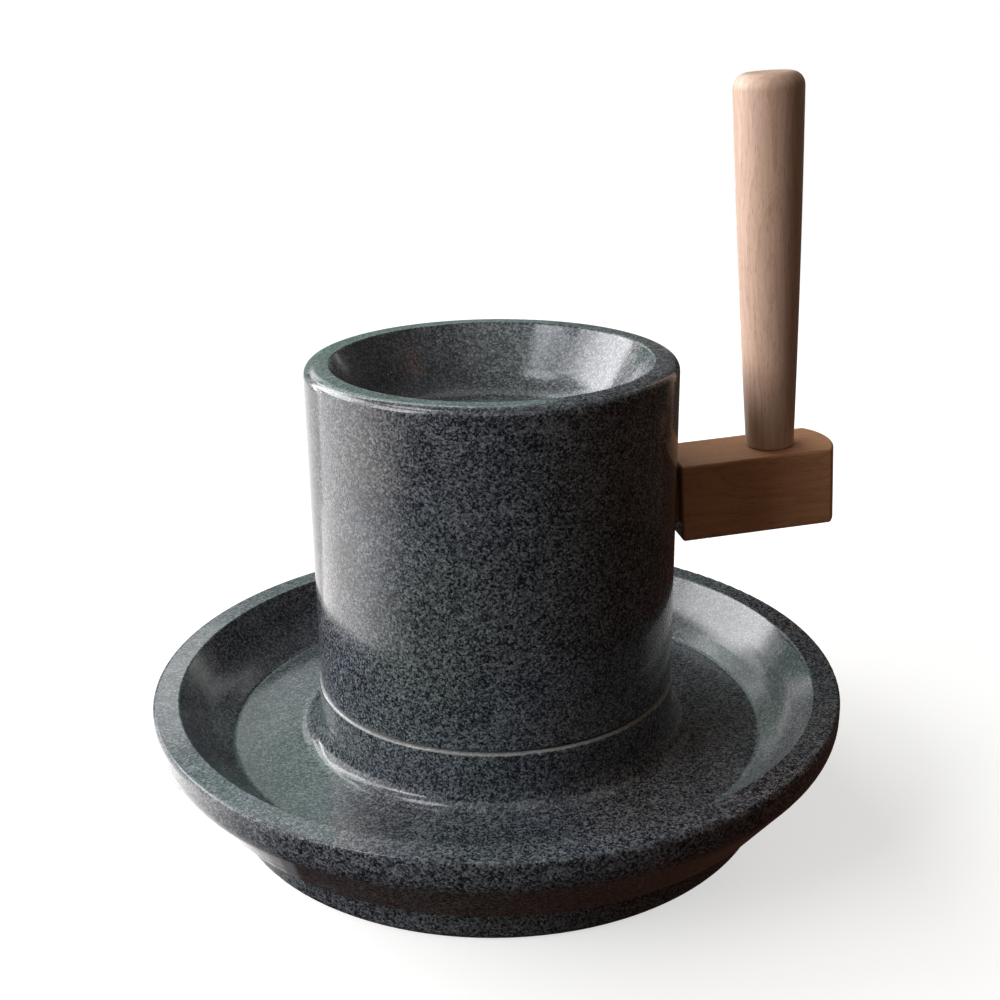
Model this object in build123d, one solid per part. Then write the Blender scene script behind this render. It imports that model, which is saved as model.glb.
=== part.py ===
from build123d import *
from math import cos, radians, sin, sqrt, tan
import os

# Hand cranked stone mill for powdered tea: a lower millstone carved in one
# piece with its tray and foot, an upper millstone with a dished hopper that
# turns on a steel spindle, and a wooden crank with an upright grip.
# Millimetres. +Z is up, the origin is the centre of the foot's underside, and
# the crank points along +X.

# ---- lower millstone: foot, tray and pedestal in one stone
tray_radius = 116.2            # outer face of the rim band
tray_depth = 17.7              # rim down to the tray's floor
tray_floor_thickness = 10.9    # tray's floor down to the ledge over the foot
rim_width = 8.8                # flat ring on top of the rim
rim_outer_round = 1.4
rim_inner_round = 0.8
rim_band_height = 8.6          # upright outer face of the rim
band_round = 10.0              # from the band into the sloping underside
tray_wall_lean = 16.9          # how far the inner wall leans out, floor to rim
tray_wall_knee = 6.1           # height at which the wall turns steeper, halfway out
tray_wall_hollow = 22.0        # rounding of that turn
tray_wall_round = 3.0          # from the tray's floor into its wall
foot_height = 15.5
foot_inset = 21.2              # rim's outer face in to the top of the foot
foot_draft = 3.4               # top of the foot in to its base
foot_edge_round = 4.4
foot_ledge = 5.6               # flat ring over the foot, under the slope
ledge_inner_round = 1.5
ledge_outer_round = 2.0
pedestal_height = 18.6         # grinding face above the tray's floor
pedestal_proud = 0.6           # pedestal's radius beyond the upper stone's
pedestal_round = 7.0           # from the pedestal into the tray's floor
pedestal_edge_round = 1.2

# ---- upper millstone
runner_radius = 60.0
runner_height = 109.0
runner_top_round = 3.2
runner_bottom_round = 1.0
grinding_gap = 0.3             # between the two grinding faces
hopper_rim_width = 8.0         # flat ring round the hopper
hopper_rim_round = 0.8
hopper_depth = 22.0
hopper_wall_lean = 14.0
hopper_wall_round = 16.0
eye_radius = 11.0              # feed hole down the middle
eye_edge_round = 2.0

# ---- grinding faces, dressed alike on both stones
sector_count = 8
furrow_pitch = 5.4
furrow_width = 1.8
furrow_depth = 1.0
plain_rim_width = 7.5          # ungrooved ring that keeps the powder fine
feed_dish_radius = 24.0        # shallow cone round the middle of each face
upper_dish_depth = 2.0
lower_dish_depth = 1.5
furrow_run_in = 4.0            # how far each furrow starts inside that cone

# ---- spindle, its plug in the lower stone and its bush in the upper one
spindle_radius = 4.0
spindle_rise = 32.0            # above the lower grinding face
spindle_bevel = 1.2
running_clearance = 0.05       # radial, round pins in round bores
plug_radius = 12.0
plug_depth = 28.0
plug_floor = 4.0               # wood left under the spindle
bush_height = 22.0
bush_recess = 3.0              # bush's foot above the feed dish
flute_count = 4
flute_radius = 4.5             # feed flutes down the outside of the bush
bore_bevel = 0.6

# ---- crank arm, let into the side of the upper stone
arm_line_height = 55.2         # arm's centre line above the runner's base, at the axis
arm_rise = 3.3                 # degrees, outer end up
arm_width = 26.0
arm_height = 26.3
arm_length = 51.7              # shoulder to the end of the straight sides
arm_end_bulge = 4.2            # rounded end beyond the straight sides
arm_edge_round = 1.0
arm_shoulder_gap = 0.3         # between the shoulder and the stone
tenon_size = 16.0              # square, so that the arm can't twist
tenon_length = 28.0
tenon_edge_round = 1.0
mortise_clearance = 0.15       # on each side of the tenon
mortise_end_gap = 2.0

# ---- grip, turning in the arm on its own round tenon
grip_offset = 34.9             # from the arm's shoulder
grip_length = 121.1
grip_base_radius = 8.0
grip_top_radius = 11.2
grip_belly = 0.35              # bulge of the tapered side
grip_top_round = 4.5
grip_tenon_radius = 6.0
grip_tenon_length = 20.0
grip_tenon_bevel = 0.8
grip_base_bevel = 0.5
grip_socket_gap = 1.0          # air under the tenon

# ---- heights and radii that the pieces share
tray_floor = foot_height + tray_floor_thickness
tray_rim = tray_floor + tray_depth
lower_face = tray_floor + pedestal_height
runner_base = lower_face + grinding_gap
runner_top = runner_base + runner_height
hopper_floor = runner_top - hopper_depth
pedestal_radius = runner_radius + pedestal_proud
plug_top = lower_face - lower_dish_depth
plug_base = plug_top - plug_depth
spindle_foot = plug_base + plug_floor
spindle_top = lower_face + spindle_rise
bush_base = runner_base + upper_dish_depth + bush_recess
bore_radius = spindle_radius + running_clearance

# ---- crank's own plane: X out along the arm, Z square to its top
arm_x = (cos(radians(arm_rise)), 0, sin(radians(arm_rise)))
arm_z = (-sin(radians(arm_rise)), 0, cos(radians(arm_rise)))
arm_plane = Plane(origin=(0, 0, runner_base + arm_line_height), x_dir=arm_x, z_dir=arm_z)
shoulder_reach = runner_radius + arm_shoulder_gap + arm_height / 2 * arm_x[2]
shoulder = shoulder_reach / arm_x[0]
grip_plane = Plane(
    origin=arm_plane.from_local_coords((shoulder + grip_offset, 0, arm_height / 2)),
    x_dir=arm_x,
    z_dir=arm_z,
)


def turned(corners):
    """Revolve an outline of (radius, height, rounding) corners about Z."""
    outline = make_face(Plane.XZ * Polyline(*[corner[:2] for corner in corners], close=True))
    for radius, height, rounding in corners:
        if rounding > 0:
            corner = outline.vertices().sort_by_distance((radius, 0, height))[0]
            outline = fillet(corner, rounding)
    return revolve(outline, axis=Axis.Z)


def rod(radius, base, top):
    """An upright cylinder on the Z axis between two heights."""
    return Pos(0, 0, base) * extrude(Circle(radius), top - base)


def furrows(hand):
    """Plan of the dress: sectors of furrows parallel to each sector's first one.

    A hand of 1 or -1 puts the rows on the one or the other side of the first.
    """
    sector = radians(360 / sector_count)
    reach = runner_radius - plain_rim_width
    plan = Sketch()
    for row in range(int(reach * sin(sector) / furrow_pitch) + 1):
        offset = row * furrow_pitch
        start = max(offset / tan(sector), feed_dish_radius - furrow_run_in)
        length = sqrt(reach**2 - offset**2) - start
        furrow = Pos(start + length / 2, hand * offset) * Rectangle(length, furrow_width)
        plan += PolarLocations(0, sector_count) * furrow
    return plan


def base_stone():
    foot_top = tray_radius - foot_inset
    rim_inside = tray_radius - rim_width
    body = turned([
        (0, 0, 0),
        (foot_top - foot_draft, 0, foot_edge_round),
        (foot_top, foot_height, ledge_inner_round),
        (foot_top + foot_ledge, foot_height, ledge_outer_round),
        (tray_radius, tray_rim - rim_band_height, band_round),
        (tray_radius, tray_rim, rim_outer_round),
        (rim_inside, tray_rim, rim_inner_round),
        (rim_inside - tray_wall_lean / 2, tray_floor + tray_wall_knee, tray_wall_hollow),
        (rim_inside - tray_wall_lean, tray_floor, tray_wall_round),
        (pedestal_radius, tray_floor, pedestal_round),
        (pedestal_radius, lower_face, pedestal_edge_round),
        (feed_dish_radius, lower_face, 0),
        (plug_radius, plug_top, 0),
        (plug_radius, plug_base, 0),
        (0, plug_base, 0),
    ])
    return body - Pos(0, 0, lower_face - furrow_depth) * extrude(furrows(-1), furrow_depth)


def mouth(body, height):
    """The edge of a body's spindle bore at a height."""
    return body.edges().filter_by(GeomType.CIRCLE).sort_by_distance((0, 0, height))[0]


def spindle_plug():
    plug = rod(plug_radius, plug_base, plug_top) - rod(bore_radius, spindle_foot, plug_top)
    return chamfer(mouth(plug, plug_top), bore_bevel)


def spindle():
    pin = rod(spindle_radius, spindle_foot, spindle_top)
    return chamfer(pin.edges().filter_by(GeomType.CIRCLE), spindle_bevel)


def upper_stone():
    hopper_radius = runner_radius - hopper_rim_width
    body = turned([
        (eye_radius, runner_base + upper_dish_depth, 0),
        (feed_dish_radius, runner_base, 0),
        (runner_radius, runner_base, runner_bottom_round),
        (runner_radius, runner_top, runner_top_round),
        (hopper_radius, runner_top, hopper_rim_round),
        (hopper_radius - hopper_wall_lean, hopper_floor, hopper_wall_round),
        (eye_radius, hopper_floor, eye_edge_round),
    ])
    body -= Pos(0, 0, runner_base) * extrude(furrows(1), furrow_depth)
    return body - mortise()


def mortise():
    """The square hole that takes the arm's tenon, open at the stone's side."""
    size = tenon_size + 2 * mortise_clearance
    inner_end = shoulder - tenon_length - mortise_end_gap
    hole = Box(shoulder - inner_end, size, size, align=(Align.MIN, Align.CENTER, Align.CENTER))
    return arm_plane.location * Pos(inner_end, 0, 0) * hole


def eye_bush():
    top = bush_base + bush_height
    bush = rod(eye_radius, bush_base, top) - rod(bore_radius, bush_base, top)
    flute = Pos(eye_radius, 0, bush_base) * extrude(Circle(flute_radius), bush_height)
    bush -= PolarLocations(0, flute_count) * flute
    bush = chamfer(mouth(bush, bush_base), bore_bevel)
    return chamfer(mouth(bush, top), bore_bevel)


def crank_arm():
    end = shoulder + arm_length
    half = arm_width / 2
    sides = Polyline((end, -half), (shoulder, -half), (shoulder, half), (end, half))
    nose = ThreePointArc((end, half), (end + arm_end_bulge, 0), (end, -half))
    block = extrude(make_face([sides, nose]), arm_height / 2, both=True)
    block = fillet(block.edges(), arm_edge_round)
    tenon = Box(tenon_length + arm_edge_round, tenon_size, tenon_size)
    tenon = fillet(tenon.edges().filter_by(Axis.X), tenon_edge_round)
    block += Pos(shoulder - (tenon_length - arm_edge_round) / 2, 0, 0) * tenon
    socket_depth = grip_tenon_length + grip_socket_gap
    socket = rod(grip_tenon_radius + running_clearance, -socket_depth, 0)
    block -= Pos(shoulder + grip_offset, 0, arm_height / 2) * socket
    return arm_plane.location * block


def grip():
    shaft = [
        (0, -grip_tenon_length),
        (grip_tenon_radius - grip_tenon_bevel, -grip_tenon_length),
        (grip_tenon_radius, grip_tenon_bevel - grip_tenon_length),
        (grip_tenon_radius, 0),
        (grip_base_radius - grip_base_bevel, 0),
        (grip_base_radius, grip_base_bevel),
    ]
    crown = (grip_top_radius, grip_length)
    middle = ((grip_base_radius + grip_top_radius) / 2 + grip_belly, grip_length / 2)
    side = ThreePointArc(shaft[-1], middle, crown)
    top = Polyline(crown, (0, grip_length), shaft[0])
    outline = make_face([Plane.XZ * line for line in (Polyline(*shaft), side, top)])
    rim = outline.vertices().sort_by_distance((grip_top_radius, 0, grip_length))[0]
    return grip_plane.location * revolve(fillet(rim, grip_top_round), axis=Axis.Z)


pieces = {
    "base_stone": base_stone(),
    "spindle_plug": spindle_plug(),
    "spindle": spindle(),
    "upper_stone": upper_stone(),
    "eye_bush": eye_bush(),
    "crank_arm": crank_arm(),
    "grip": grip(),
}
os.makedirs("parts", exist_ok=True)
for node, piece in pieces.items():
    export_step(piece, f"parts/{node}.step")
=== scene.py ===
from math import cos, pi, radians, sin

import bpy
from mathutils import Matrix, Vector

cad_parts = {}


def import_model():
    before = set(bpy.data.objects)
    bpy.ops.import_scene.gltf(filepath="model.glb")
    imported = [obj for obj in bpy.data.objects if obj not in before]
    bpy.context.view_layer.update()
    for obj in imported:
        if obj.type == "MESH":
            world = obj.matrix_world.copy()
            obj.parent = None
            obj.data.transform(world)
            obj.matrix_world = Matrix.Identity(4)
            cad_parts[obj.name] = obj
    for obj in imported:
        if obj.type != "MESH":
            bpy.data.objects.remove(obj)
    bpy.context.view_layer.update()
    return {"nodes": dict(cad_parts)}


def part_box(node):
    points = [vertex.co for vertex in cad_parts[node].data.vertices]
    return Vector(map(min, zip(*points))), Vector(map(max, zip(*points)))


# Looks of the stone mill: two granite stones, a beech arm and grip, a steel
# spindle, and the studio around them. Metres, in the frame of the CAD model:
# the crank points along +X and the foot's underside is the origin.

bpy.ops.wm.read_factory_settings(use_empty=True)
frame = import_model()
nodes = frame["nodes"]

# ---- camera, in a frame turned so that +X is the picture's right and +Y away
VIEW_TURN = radians(-9.48)
CAMERA_DISTANCE = 0.43507
CAMERA_HEIGHT = 0.26191
CAMERA_PITCH = radians(19.731)
CAMERA_YAW = radians(0.282)
CAMERA_ROLL = radians(-0.738)
LENS_MM = 50.217
SENSOR_MM = 36.0
CLIP_START = 0.01
CLIP_END = 20.0

# ---- places on the stones
runner_low, runner_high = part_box("upper_stone")
RUNNER_RADIUS = runner_high.x
RUNNER_BASE = runner_low.z
RUNNER_TOP = runner_high.z
_, base_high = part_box("base_stone")
TRAY_RADIUS = base_high.x
LOWER_FACE = base_high.z

# ---- granite
GRAIN = 1580.0                 # crystals to a metre
FINE_GRAIN = GRAIN * 1.7
COARSE_SHARE = 0.55            # of the tone, the rest comes from the fine grain
BORDER_GRAIN = 1500.0          # how finely the crystals' borders stray
BORDER_STRAY = 0.00044         # and how far
CRYSTALS = [
    (0.20, (0.004, 0.005, 0.008)),   # black mica
    (0.36, (0.018, 0.022, 0.028)),   # hornblende
    (0.50, (0.065, 0.071, 0.079)),   # smoky quartz
    (0.65, (0.118, 0.125, 0.131)),   # grey feldspar
    (0.81, (0.178, 0.185, 0.188)),   # pale feldspar
    (1.00, (0.290, 0.294, 0.290)),   # white quartz
]
CLOUD_GRAIN = 70.0             # darker and paler patches a few centimetres wide
CLOUD_TONE = 0.06
TINT_GRAIN = 14.0
TINTS = [
    (0.36, (0.89, 1.01, 0.99)),
    (0.50, (0.92, 0.98, 1.10)),
    (0.64, (1.05, 0.99, 0.99)),
]
WORN_RADIUS = 0.0012
WORN_SHARE = 0.12
WORN_COLOUR = (0.30, 0.31, 0.31)
POLISHED_ROUGHNESS = 0.10
HONED_ROUGHNESS = 0.17         # inside the hopper and the tray
CRYSTAL_ROUGHNESS = 0.05       # how much it varies from crystal to crystal
RELIEF_GRAIN = 2600.0
RELIEF = 0.000002

# the dressed grinding faces, above and below the gap between the stones
FACE_BELOW = 0.0014
FACE_ABOVE = 0.0012
FACE_INSET = 0.0017            # in from the upper stone's side
FACE_SHARE = 0.45
FACE_COLOUR = (0.30, 0.31, 0.30)
FACE_ROUGHER = 0.45
# the lower stone's rounded edge beside them, paled as a painted highlight where it catches the light
SEAM_BELOW = 0.0007
SEAM_ABOVE = 0.0001
SEAM_HIGHLIGHT_SHARE = 0.35
SEAM_HIGHLIGHT_COLOUR = (0.50, 0.49, 0.47)
# the honed parts, from the outsides of the stones
HOPPER_INSET = 0.0100
HOPPER_DEPTH = 0.0233
TRAY_START = 0.0090            # beyond the upper stone's side
TRAY_INSET = 0.0097            # in from the tray's outside
TRAY_BELOW = 0.0250            # under the lower grinding face
TRAY_ABOVE = 0.0010

# ---- wood; its grain follows the crank, which rises from the stone
ARM_RISE = radians(3.3)
GRAIN_UP = (0, ARM_RISE, 0)
GRAIN_OUT = (0, ARM_RISE - pi / 2, 0)
LAYERS = 320.0                 # growth layers to a metre, across the board
LAYER_SLANT = 90.0
LAYER_BEND = 11.0
BEND_GRAIN = 38.0
STREAK_GRAIN = 900.0
RAY_GRAIN = 2600.0
PORE_GRAIN = 5200.0
WOOD_RELIEF = 0.00002
GRIP_BEECH = {
    "pale": (0.63, 0.425, 0.325),
    "dark": (0.47, 0.290, 0.205),
    "fleck": (0.30, 0.16, 0.09),
    "roughness": 0.50,
    "gloss": 0.45,
}
ARM_BEECH = {
    "pale": (0.54, 0.275, 0.145),
    "dark": (0.40, 0.19, 0.09),
    "fleck": (0.20, 0.09, 0.04),
    "roughness": 0.50,
    "gloss": 0.22,
}
HARDWOOD = {
    "pale": (0.40, 0.24, 0.13),
    "dark": (0.28, 0.15, 0.08),
    "fleck": (0.14, 0.07, 0.035),
    "roughness": 0.60,
    "gloss": 0.30,
}

# ---- floor and world
FLOOR_RADIUS = 3.0
FLOOR_FADE = (0.45, 1.10)      # from here to there the lit floor turns to plain white
FLOOR_GREY = (0.62, 0.62, 0.62)
FLOOR_GLOW = 0.62              # with the lamps' own light this shows as white
FLOOR_BOUNCE = (0.075, 0.042, 0.030)   # the light it sends back to the object
FILL = 0.12
FILL_COLOUR = (1.0, 0.80, 0.63)
WHITE = (1, 1, 1, 1)

# ---- lamps: place, size, radiance and colour, and whether reflections see them
LAMP_TARGET = (0, 0, 0.08)
LAMPS = {
    "window": ((-2.0, 0.60, 1.10), (1.9, 1.5), 5.2, (1.0, 1.0, 1.0), True),
    "side_window": ((-1.8, -0.98, 1.0), (1.2, 1.4), 8.2, (1.0, 1.0, 1.0), True),
    "back_window": ((-0.95, 1.70, 1.5), (1.3, 1.2), 4.5, (0.92, 1.0, 0.96), True),
    "far_side": ((0.95, 1.75, 0.5), (1.2, 0.8), 3.2, (1.0, 0.93, 0.86), False),
}

# ---- what the polished stone mirrors: a bright sill and windows on the left, a
# garden behind and a dark room elsewhere. Angles are in degrees, anticlockwise
# from the picture's right.
NEAR = 0.34
MIDDLE = 0.75
FAR = 1.60
TABLE_HEIGHT = 0.0006
CARD_STEPS = 24
DARK_ROOM = (0.05, 0.038, 0.032)
HEDGE_GREEN = (0.30, 0.46, 0.40)
DARK_WOOD = (0.035, 0.015, 0.010)
# walls: distance, from and to, bottom and top, radiance
WALLS = {
    "sill": (NEAR, (150, 190), (0, 0.22), (3.0, 2.98, 3.02)),
    "pane": (FAR, (138, 176), (0.05, 1.30), (10.0, 10.0, 10.2)),
    "garden": (MIDDLE, (95, 109), (0.42, 0.52), (0.50, 0.78, 0.70)),
    "garden_left": (MIDDLE, (109, 128), (0.46, 0.52), (0.50, 0.78, 0.70)),
    "tree": (MIDDLE, (95, 128), (0.52, 0.85), (1.54, 1.90, 1.84)),
    "sky": (MIDDLE, (87, 95), (0.42, 0.85), (1.15, 1.28, 1.42)),
    "hedge": (MIDDLE, (86, 102), (0.05, 0.42), HEDGE_GREEN),
    "hedge_left": (MIDDLE, (102, 128), (0.05, 0.35), HEDGE_GREEN),
    "lawn": (MIDDLE, (102, 109), (0.35, 0.42), (1.9, 2.0, 2.0)),
    "lawn_left": (MIDDLE, (109, 128), (0.35, 0.46), (2.6, 2.65, 2.65)),
    "doorway_left": (MIDDLE, (80, 86), (0, 0.33), (0.27, 0.34, 0.31)),
    "doorway": (MIDDLE, (74, 80), (0, 0.33), (0.25, 0.29, 0.27)),
    "doorway_right": (MIDDLE, (66, 74), (0, 0.33), (0.18, 0.20, 0.19)),
    "lintel": (MIDDLE, (66, 86), (0.33, 0.95), DARK_ROOM),
    "room_back": (NEAR, (20, 66), (0, 0.20), DARK_ROOM),
    "room_right": (NEAR, (-60, 20), (0, 0.36), (0.06, 0.026, 0.018)),
    "room_front": (NEAR, (-134, -60), (0, 0.30), (0.05, 0.040, 0.036)),
    "skylight": (NEAR, (180, 224), (0.52, 0.84), (6.5, 6.6, 6.9)),
    # the room's walls get paler towards the ceiling
    "back_foot": (NEAR, (20, 66), (0.20, 0.26), (0.12, 0.14, 0.13)),
    "back_low": (NEAR, (20, 66), (0.26, 0.34), (0.16, 0.17, 0.165)),
    "back_middle": (NEAR, (20, 66), (0.34, 0.42), (0.20, 0.21, 0.21)),
    "back_high": (NEAR, (20, 66), (0.42, 0.52), (0.28, 0.28, 0.28)),
    "back_top": (NEAR, (20, 66), (0.52, 0.72), (0.40, 0.41, 0.42)),
    "right_high": (NEAR, (-60, 20), (0.36, 0.46), (0.28, 0.27, 0.27)),
    "right_top": (NEAR, (-60, 20), (0.46, 0.72), (0.40, 0.41, 0.42)),
    "cornice": (NEAR, (-134, 66), (0.72, 1.10), (0.55, 0.56, 0.57)),
}
# parts of the table: inside and outside, from and to, radiance
TABLES = {
    "sunny_table": ((0.13, NEAR), (145, 190), (3.0, 2.95, 2.9)),
    "dark_table": ((0.0, NEAR), (-134, 80), DARK_WOOD),
    "doorway_floor": ((NEAR, MIDDLE), (64, 88), (0.035, 0.020, 0.015)),
}
# the sill and the table before it fade towards the front: from and to, radiance
FADE_TOP = 0.24
FADE_TINT = (1.0, 0.97, 0.97)
FADE = [
    (190, 194, 2.80),
    (194, 198, 2.55),
    (198, 202, 2.20),
    (202, 206, 1.80),
    (206, 210, 1.40),
    (210, 214, 1.05),
    (214, 218, 0.72),
    (218, 222, 0.42),
    (222, 226, 0.20),
]
CEILING_HALF = 0.6
CEILING_HEIGHT = 1.5
CEILING_RADIANCE = (0.5, 0.5, 0.5)


def turned_to_view(x, y, z):
    """A place in the row frame, from one in the picture's own directions."""
    return Matrix.Rotation(VIEW_TURN, 4, "Z") @ Vector((x, y, z))


# ---------------------------------------------------------------- node helpers
class Nodes:
    """A node tree, with short calls for the nodes used here."""

    def __init__(self, tree):
        self.tree = tree
        self.tree.nodes.clear()

    def add(self, kind, inputs=None, **settings):
        node = self.tree.nodes.new(kind)
        for name, value in settings.items():
            setattr(node, name, value)
        for name, value in (inputs or {}).items():
            self.feed(node.inputs[name], value)
        return node

    def feed(self, socket, value):
        if isinstance(value, bpy.types.NodeSocket):
            self.tree.links.new(value, socket)
        else:
            socket.default_value = value

    def maths(self, operation, *values):
        node = self.add("ShaderNodeMath", operation=operation)
        for socket, value in zip(node.inputs, values):
            self.feed(socket, value)
        return node.outputs[0]

    def shown(self):
        """1 for rays that show the background: camera, glossy and transmission."""
        path = self.add("ShaderNodeLightPath").outputs
        seen = self.maths("MAXIMUM", path["Is Camera Ray"], path["Is Glossy Ray"])
        return self.maths("MAXIMUM", seen, path["Is Transmission Ray"])

    def either(self, share, a, b):
        """The first surface at a share of 0 and the second at 1."""
        return self.add("ShaderNodeMixShader", {0: share, 1: a, 2: b}).outputs[0]


class Shader(Nodes):
    """A material's node tree."""

    def __init__(self, name):
        self.material = bpy.data.materials.new(name)
        self.material.use_nodes = True
        super().__init__(self.material.node_tree)
        self.output = self.add("ShaderNodeOutputMaterial")
        self.place = self.add("ShaderNodeTexCoord").outputs["Object"]

    def surface(self, outlet):
        self.tree.links.new(outlet, self.output.inputs["Surface"])
        return self.material

    def principled(self, **inputs):
        named = {name.replace("_", " "): value for name, value in inputs.items()}
        return self.surface(self.add("ShaderNodeBsdfPrincipled", named).outputs[0])

    def glow(self, strength, colour=WHITE):
        return self.add("ShaderNodeEmission", {"Color": colour, "Strength": strength}).outputs[0]

    def vector(self, operation, a, b):
        node = self.add("ShaderNodeVectorMath", operation=operation)
        self.feed(node.inputs[0], a)
        self.feed(node.inputs["Scale"] if operation == "SCALE" else node.inputs[1], b)
        return node.outputs[0]

    def turned(self, rotation):
        return self.add("ShaderNodeMapping", {"Vector": self.place, "Rotation": rotation}).outputs[0]

    def drawn_out(self, where, share):
        """Coordinates that draw a pattern out along Z."""
        return self.vector("MULTIPLY", where, (1, 1, share))

    def split(self, where):
        return self.add("ShaderNodeSeparateXYZ", {"Vector": where}).outputs

    def from_axis(self):
        """Distance from the spindle's axis."""
        x, y, _ = self.split(self.place)
        square = self.maths("ADD", self.maths("MULTIPLY", x, x), self.maths("MULTIPLY", y, y))
        return self.maths("SQRT", square)

    def noise(self, where, scale, detail=2.0, roughness=0.5):
        inputs = {"Vector": where, "Scale": scale, "Detail": detail, "Roughness": roughness}
        return self.add("ShaderNodeTexNoise", inputs).outputs

    def cells(self, where, scale):
        """Three random numbers for each crystal."""
        node = self.add("ShaderNodeTexVoronoi", {"Vector": where, "Scale": scale})
        return self.split(node.outputs["Color"])

    def span(self, value, low, high, to_low=0.0, to_high=1.0):
        inputs = {
            "Value": value,
            "From Min": low,
            "From Max": high,
            "To Min": to_low,
            "To Max": to_high,
        }
        return self.add("ShaderNodeMapRange", inputs).outputs[0]

    def ramp(self, value, stops):
        node = self.add("ShaderNodeValToRGB", {"Fac": value})
        elements = node.color_ramp.elements
        while len(elements) < len(stops):
            elements.new(1.0)
        for element, (position, colour) in zip(elements, stops):
            element.position = position
            element.color = (*colour, 1)
        return node.outputs["Color"]

    def blend(self, share, a, b, kind="MIX"):
        node = self.add("ShaderNodeMix", data_type="RGBA", blend_type=kind)
        sockets = {socket.identifier: socket for socket in node.inputs}
        self.feed(sockets["Factor_Float"], share)
        for name, value in (("A_Color", a), ("B_Color", b)):
            self.feed(sockets[name], (*value, 1) if isinstance(value, tuple) else value)
        return next(s for s in node.outputs if s.identifier == "Result_Color")

    def within(self, value, low, high):
        above = self.maths("GREATER_THAN", value, low)
        return self.maths("MULTIPLY", above, self.maths("LESS_THAN", value, high))

    def bump(self, height, distance):
        return self.add("ShaderNodeBump", {"Height": height, "Distance": distance}).outputs[0]

    def edges(self, radius, low, high):
        """1 on the rounded edges of a solid and 0 on its faces."""
        bevel = self.add("ShaderNodeBevel", {"Radius": radius}, samples=4).outputs[0]
        normal = self.add("ShaderNodeNewGeometry").outputs["Normal"]
        node = self.add("ShaderNodeVectorMath", operation="DOT_PRODUCT")
        self.feed(node.inputs[0], bevel)
        self.feed(node.inputs[1], normal)
        return self.span(node.outputs["Value"], high, low)


# ---------------------------------------------------------------- materials
def granite():
    """Fine dark granite: interlocked crystals of black mica, grey and white."""
    s = Shader("granite")
    stray = s.noise(s.place, BORDER_GRAIN)["Color"]
    stray = s.vector("SCALE", s.vector("SUBTRACT", stray, (0.5, 0.5, 0.5)), BORDER_STRAY)
    where = s.vector("ADD", s.place, stray)
    crystal = s.cells(where, GRAIN)
    fine = s.cells(where, FINE_GRAIN)
    tone = s.maths(
        "ADD",
        s.maths("MULTIPLY", crystal[0], COARSE_SHARE),
        s.maths("MULTIPLY", fine[0], 1 - COARSE_SHARE),
    )
    cloud = s.noise(s.place, CLOUD_GRAIN, 3, 0.6)["Fac"]
    tone = s.maths("ADD", tone, s.span(cloud, 0.3, 0.7, -CLOUD_TONE, CLOUD_TONE))
    colour = s.ramp(tone, CRYSTALS)
    tint = s.ramp(s.noise(s.place, TINT_GRAIN, 3)["Fac"], TINTS)
    colour = s.blend(1.0, colour, tint, "MULTIPLY")
    # worn edges are paler
    worn = s.maths("MULTIPLY", s.edges(WORN_RADIUS, 0.80, 0.995), s.span(cloud, 0.35, 0.6))
    colour = s.blend(s.maths("MULTIPLY", worn, WORN_SHARE), colour, WORN_COLOUR)
    # the dressed grinding faces are rough and chalky; the lower stone's rounded edge beside them is
    # paled as a painted highlight
    radius = s.from_axis()
    height = s.split(s.place)[2]
    face_edge = RUNNER_RADIUS - FACE_INSET
    face = s.within(height, RUNNER_BASE - FACE_BELOW, RUNNER_BASE + FACE_ABOVE)
    face = s.maths("MULTIPLY", face, s.maths("LESS_THAN", radius, face_edge))
    colour = s.blend(s.maths("MULTIPLY", face, FACE_SHARE), colour, FACE_COLOUR)
    # painted highlight: a thin band on the lower stone's rounded top edge is paled as if lit
    seam_highlight = s.within(height, LOWER_FACE - SEAM_BELOW, LOWER_FACE + SEAM_ABOVE)
    seam_highlight = s.maths("MULTIPLY", seam_highlight, s.maths("GREATER_THAN", radius, face_edge))
    colour = s.blend(s.maths("MULTIPLY", seam_highlight, SEAM_HIGHLIGHT_SHARE), colour, SEAM_HIGHLIGHT_COLOUR)
    # inside the hopper and the tray the stone is honed, outside it is polished
    hopper = s.maths(
        "MULTIPLY",
        s.maths("LESS_THAN", radius, RUNNER_RADIUS - HOPPER_INSET),
        s.maths("GREATER_THAN", height, RUNNER_TOP - HOPPER_DEPTH),
    )
    tray = s.maths(
        "MULTIPLY",
        s.within(radius, RUNNER_RADIUS + TRAY_START, TRAY_RADIUS - TRAY_INSET),
        s.within(height, LOWER_FACE - TRAY_BELOW, LOWER_FACE - TRAY_ABOVE),
    )
    honed = s.maths("MAXIMUM", hopper, tray)
    rough = s.span(honed, 0, 1, POLISHED_ROUGHNESS, HONED_ROUGHNESS)
    rough = s.maths("ADD", rough, s.span(s.noise(s.place, 55, 4)["Fac"], 0.3, 0.7, -0.02, 0.03))
    rough = s.maths("ADD", rough, s.maths("MULTIPLY", crystal[1], CRYSTAL_ROUGHNESS))
    rough = s.maths("ADD", rough, s.maths("MULTIPLY", face, FACE_ROUGHER))
    relief = s.noise(s.place, RELIEF_GRAIN)["Fac"]
    relief = s.maths("ADD", s.maths("MULTIPLY", crystal[2], 0.5), relief)
    return s.principled(Base_Color=colour, Roughness=rough, Normal=s.bump(relief, RELIEF))


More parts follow.
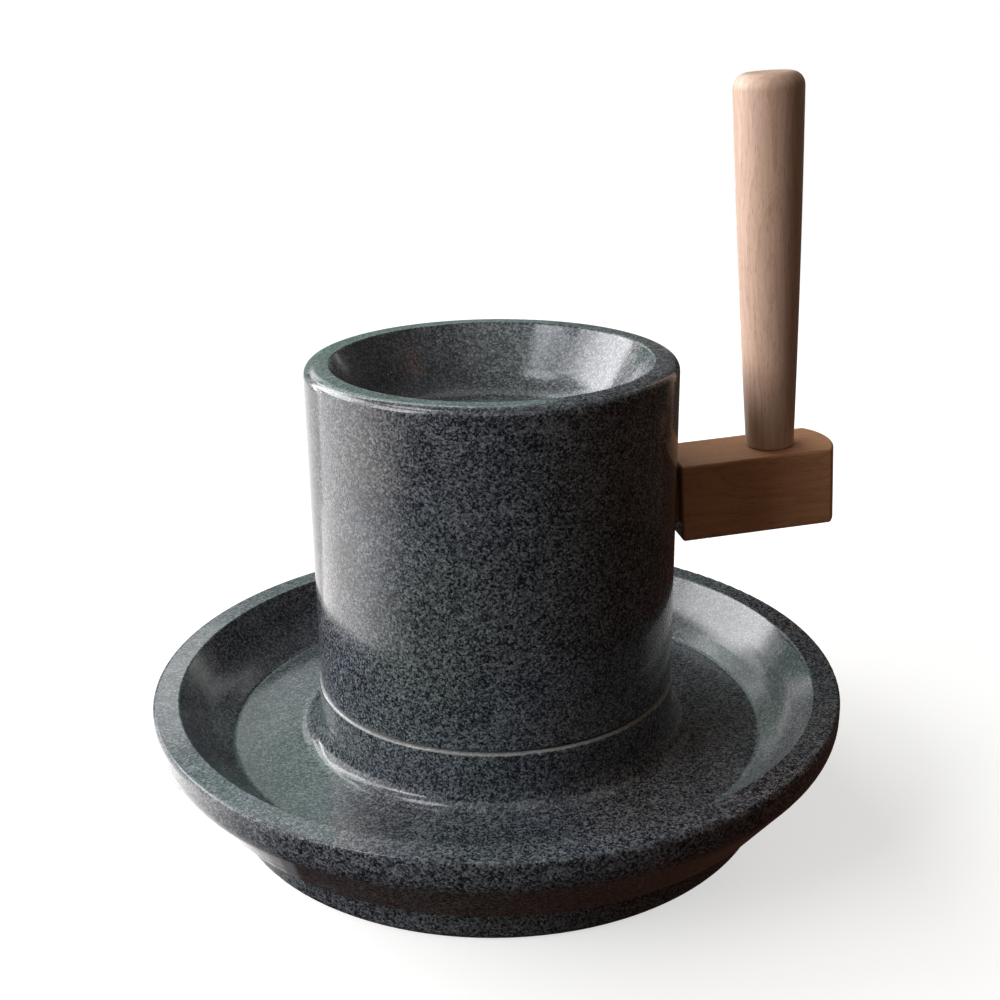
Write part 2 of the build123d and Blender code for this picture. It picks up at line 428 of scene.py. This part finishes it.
def beech(name, rotation, pale, dark, fleck, roughness, gloss):
    """Beech with its grain along the piece's own Z: layers, streaks, rays and pores."""
    s = Shader(name)
    along = s.turned(rotation)
    bend = s.noise(s.drawn_out(along, 0.22), BEND_GRAIN, 3, 0.55)["Fac"]
    x, y, _ = s.split(along)
    # growth layers, nearly flat, that bend slowly up the piece
    layer = s.maths("ADD", s.maths("MULTIPLY", y, LAYERS), s.maths("MULTIPLY", bend, LAYER_BEND))
    layer = s.maths("ADD", layer, s.maths("MULTIPLY", x, LAYER_SLANT))
    late = s.maths("POWER", s.maths("FRACT", layer), 3.0)
    streak = s.noise(s.drawn_out(along, 0.05), STREAK_GRAIN, 4, 0.6)["Fac"]
    tone = s.maths("ADD", s.maths("MULTIPLY", late, 0.45), s.span(streak, 0.3, 0.7, -0.05, 0.55))
    colour = s.blend(tone, pale, dark)
    ray = s.span(s.noise(s.drawn_out(along, 0.12), RAY_GRAIN, 1)["Fac"], 0.60, 0.70)
    pore = s.span(s.noise(s.drawn_out(along, 0.04), PORE_GRAIN, 1)["Fac"], 0.60, 0.72)
    colour = s.blend(s.maths("MULTIPLY", ray, 0.45), colour, fleck)
    colour = s.blend(s.maths("MULTIPLY", pore, 0.22), colour, fleck)
    # edges darken where hands and years have rounded them
    handled = s.maths("MULTIPLY", s.edges(0.0015, 0.85, 0.998), 0.25)
    colour = s.blend(handled, colour, dark)
    relief = s.maths("SUBTRACT", s.maths("MULTIPLY", streak, 0.6), s.maths("ADD", pore, ray))
    cloud = s.noise(s.place, 25)["Fac"]
    return s.principled(
        Base_Color=colour,
        Roughness=s.span(cloud, 0.3, 0.7, roughness - 0.05, roughness + 0.05),
        Normal=s.bump(relief, WOOD_RELIEF),
        Specular_IOR_Level=gloss,
    )


def steel():
    """Ground steel rod: fine rings round the rod, a little dull."""
    s = Shader("ground_steel")
    line = s.noise(s.vector("MULTIPLY", s.place, (0.02, 0.02, 1)), 9000, 3)["Fac"]
    smear = s.noise(s.place, 160, 3)["Fac"]
    return s.principled(
        Base_Color=s.ramp(smear, [(0.3, (0.50, 0.50, 0.49)), (0.7, (0.66, 0.66, 0.65))]),
        Metallic=1.0,
        Roughness=s.span(line, 0.3, 0.7, 0.22, 0.38),
        Normal=s.bump(line, 0.000006),
    )


def dress(material, *names):
    for name in names:
        slots = nodes[name].data.materials
        slots.clear()
        slots.append(material)


# ---------------------------------------------------------------- studio
def floor():
    """A round pale floor, white where it is lit and grey in the shadow."""
    bpy.ops.mesh.primitive_circle_add(vertices=96, radius=FLOOR_RADIUS, fill_type="NGON")
    plate = bpy.context.object
    plate.name = "floor"
    s = Shader("floor")
    shown = s.shown()
    matte = s.add("ShaderNodeBsdfDiffuse", {"Color": s.blend(shown, FLOOR_BOUNCE, FLOOR_GREY)})
    lit = s.add("ShaderNodeAddShader", {0: matte.outputs[0], 1: s.glow(FLOOR_GLOW)})
    far = s.span(s.from_axis(), *FLOOR_FADE)
    near_far = s.either(far, lit.outputs[0], s.glow(1.0))
    plate.data.materials.append(s.surface(s.either(shown, matte.outputs[0], near_far)))


def world():
    """White behind the object, and a dim even fill on it."""
    studio = bpy.data.worlds.new("studio")
    studio.use_nodes = True
    n = Nodes(studio.node_tree)
    dim = n.add("ShaderNodeBackground", {"Color": (*FILL_COLOUR, 1), "Strength": FILL})
    white = n.add("ShaderNodeBackground", {"Color": WHITE, "Strength": 1.0})
    mix = n.either(n.shown(), dim.outputs[0], white.outputs[0])
    n.add("ShaderNodeOutputWorld", {"Surface": mix})
    bpy.context.scene.world = studio


def softbox(name, place, size, radiance, colour, mirrored):
    """A rectangular lamp that faces the mill, by its brightness as seen."""
    lamp = bpy.data.lights.new(name, "AREA")
    lamp.shape = "RECTANGLE"
    lamp.size, lamp.size_y = size
    lamp.energy = radiance * pi * size[0] * size[1]
    lamp.color = colour
    holder = bpy.data.objects.new(name, lamp)
    bpy.context.scene.collection.objects.link(holder)
    at, to = turned_to_view(*place), turned_to_view(*LAMP_TARGET)
    holder.location = at
    holder.rotation_euler = (to - at).to_track_quat("-Z", "Y").to_euler()
    holder.visible_glossy = mirrored


def reflected(name, corners, faces, radiance):
    """A card that only reflections see, for what a polished side shows."""
    mesh = bpy.data.meshes.new(name)
    mesh.from_pydata([turned_to_view(*corner) for corner in corners], [], faces)
    card = bpy.data.objects.new(name, mesh)
    bpy.context.scene.collection.objects.link(card)
    s = Shader(name)
    mesh.materials.append(s.surface(s.glow(1.0, (*radiance, 1))))
    card.visible_camera = False
    card.visible_diffuse = False
    card.visible_shadow = False
    card.visible_transmission = False


def arc_card(name, angles, edges, radiance):
    """A card bent round the axis, between two edges given by radius and height."""
    start, end = (radians(angle) for angle in angles)
    corners = []
    for i in range(CARD_STEPS + 1):
        angle = start + (end - start) * i / CARD_STEPS
        corners += [(radius * cos(angle), radius * sin(angle), height) for radius, height in edges]
    faces = [(2 * i, 2 * i + 2, 2 * i + 3, 2 * i + 1) for i in range(CARD_STEPS)]
    reflected(name, corners, faces, radiance)


def arc_wall(name, radius, angles, heights, radiance):
    arc_card(name, angles, [(radius, height) for height in heights], radiance)


def arc_table(name, radii, angles, radiance):
    arc_card(name, angles, [(radius, TABLE_HEIGHT) for radius in radii], radiance)


def surroundings():
    for name, wall in WALLS.items():
        arc_wall(name, *wall)
    for name, table in TABLES.items():
        arc_table(name, *table)
    for start, end, radiance in FADE:
        colour = tuple(radiance * part for part in FADE_TINT)
        arc_wall(f"sill_{start}", NEAR, (start, end), (0, FADE_TOP), colour)
        arc_table(f"table_{start}", (0.0, NEAR), (start, end), colour)
    half, high = CEILING_HALF, CEILING_HEIGHT
    corners = [(-half, -half, high), (half, -half, high), (half, half, high), (-half, half, high)]
    reflected("ceiling", corners, [(0, 1, 2, 3)], CEILING_RADIANCE)


def camera():
    holder = bpy.data.objects.new("camera", bpy.data.cameras.new("camera"))
    bpy.context.scene.collection.objects.link(holder)
    holder.data.lens = LENS_MM
    holder.data.sensor_width = SENSOR_MM
    holder.data.clip_start = CLIP_START
    holder.data.clip_end = CLIP_END
    aim = (
        Matrix.Rotation(-CAMERA_YAW, 4, "Z")
        @ Matrix.Rotation(pi / 2 - CAMERA_PITCH, 4, "X")
        @ Matrix.Rotation(CAMERA_ROLL, 4, "Z")
    )
    stand = Matrix.Translation((0, -CAMERA_DISTANCE, CAMERA_HEIGHT)) @ aim
    holder.matrix_world = Matrix.Rotation(VIEW_TURN, 4, "Z") @ stand
    bpy.context.scene.camera = holder


# ---------------------------------------------------------------- the scene
dress(granite(), "base_stone", "upper_stone")
dress(beech("grip_beech", GRAIN_UP, **GRIP_BEECH), "grip")
dress(beech("arm_beech", GRAIN_OUT, **ARM_BEECH), "crank_arm")
dress(beech("hardwood", (0, 0, 0), **HARDWOOD), "spindle_plug", "eye_bush")
dress(steel(), "spindle")

camera()
floor()
world()
for name, lamp in LAMPS.items():
    softbox(name, *lamp)
surroundings()

bpy.context.scene.view_settings.view_transform = "Standard"
